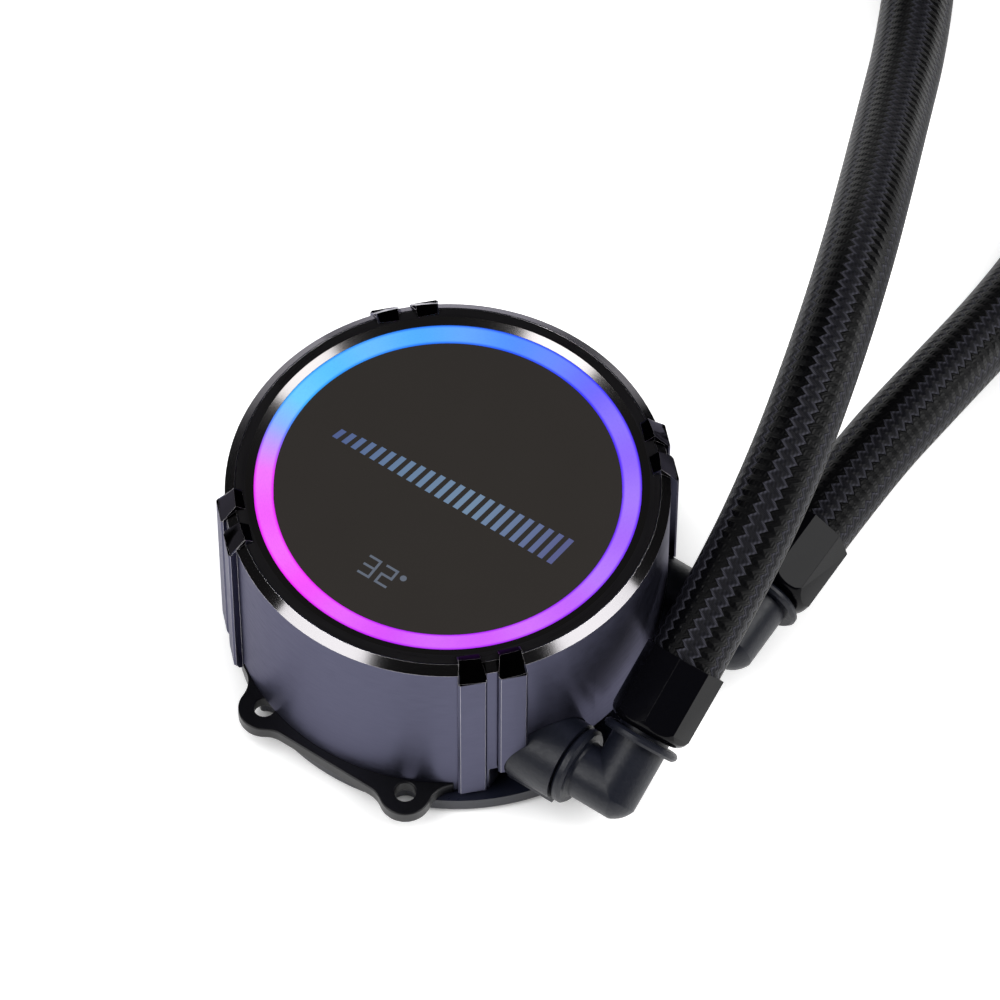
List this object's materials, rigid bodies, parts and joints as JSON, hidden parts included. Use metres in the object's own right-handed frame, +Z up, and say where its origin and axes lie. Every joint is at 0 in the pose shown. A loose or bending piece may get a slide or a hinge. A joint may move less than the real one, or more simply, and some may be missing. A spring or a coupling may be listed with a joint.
{
  "type": "liquid cooling pump head",
  "caption": "Round liquid cooler pump head with a lit ring and display on top, copper cold plate below, swivel elbows and braided hoses.",
  "frame": {"origin": "centre of the cold plate's contact face", "axes": "+Z up through the display, +X the way in which the two hose ports face, +Y the way in which the hoses leave the elbows"},
  "size_m": [0.228, 0.2676, 0.0455],
  "materials": {
    "copper": "machined copper contact face with fine turning lines",
    "black_rubber": "matte black rubber",
    "satin_black": "satin black moulded ring",
    "satin_black_metal": "black powder coat on stamped steel",
    "grainy_black": "fine grained dark moulding",
    "steel": "dark zinc screws",
    "ceramic_white": "ground pale ceramic",
    "white_plastic": "white moulded impeller",
    "magnet": "dark ferrite",
    "carbon": "grey carbon bush",
    "core_steel": "laminated steel",
    "winding": "lacquered copper wire",
    "board_green": "solder mask",
    "led_body": "white lamp bodies",
    "lit_ring": "clouded light ring, lit blue to violet and magenta",
    "gloss_black": "high gloss black",
    "panel_black": "dark display housing",
    "display": "dark semi-gloss cover of the lit display",
    "shell_blue_black": "satin anodised dark blue-grey",
    "braid": "black braided sleeve over rubber hose"
  },
  "bodies": {
    "head": {"base_ring": "satin_black", "board_screws": "steel", "cable_grommet": "black_rubber", "cold_plate": "copper", "display_frame": "grainy_black", "display_glass": "display", "display_module": "panel_black", "isolation_cover": "grainy_black", "jet_plate": "grainy_black", "led_board": "board_green", "leds": "led_body", "light_ring": "lit_ring", "motor_board": "board_green", "mounting_plate": "satin_black_metal", "outer_shell": "shell_blue_black", "plate_gasket": "black_rubber", "plate_screws": "steel", "pump_body": "grainy_black", "ring_screws": "steel", "shaft": "ceramic_white", "stator_coils": "winding", "stator_core": "core_steel", "thrust_washer": "ceramic_white", "top_bezel": "gloss_black"},
    "rotor": {"impeller": "white_plastic", "rotor_magnet": "magnet", "rotor_bearing": "carbon"},
    "elbow_1_arm": {"elbow_1": "grainy_black", "elbow_1_seal": "black_rubber", "ferrule_1": "gloss_black", "hose_1": "braid", "end_ferrule_1": "gloss_black", "end_fitting_1": "grainy_black", "end_seal_1": "black_rubber"},
    "elbow_2_arm": {"elbow_2": "grainy_black", "elbow_2_seal": "black_rubber", "ferrule_2": "gloss_black", "hose_2": "braid", "end_ferrule_2": "gloss_black", "end_fitting_2": "grainy_black", "end_seal_2": "black_rubber"}
  },
  "joints": [
    {"name": "impeller_spin", "type": "hinge", "parent": "head", "child": "rotor", "pos_m": [0, 0, 0.012], "axis": [0, 0, 1], "continuous": true},
    {"name": "elbow_1_swivel", "type": "hinge", "parent": "head", "child": "elbow_1_arm", "pos_m": [0.0353, -0.01675, 0.0105], "axis": [1, 0, 0], "range_deg": [0, 150]},
    {"name": "elbow_2_swivel", "type": "hinge", "parent": "head", "child": "elbow_2_arm", "pos_m": [0.0353, 0.01675, 0.0105], "axis": [1, 0, 0], "range_deg": [0, 18]}
  ]
}
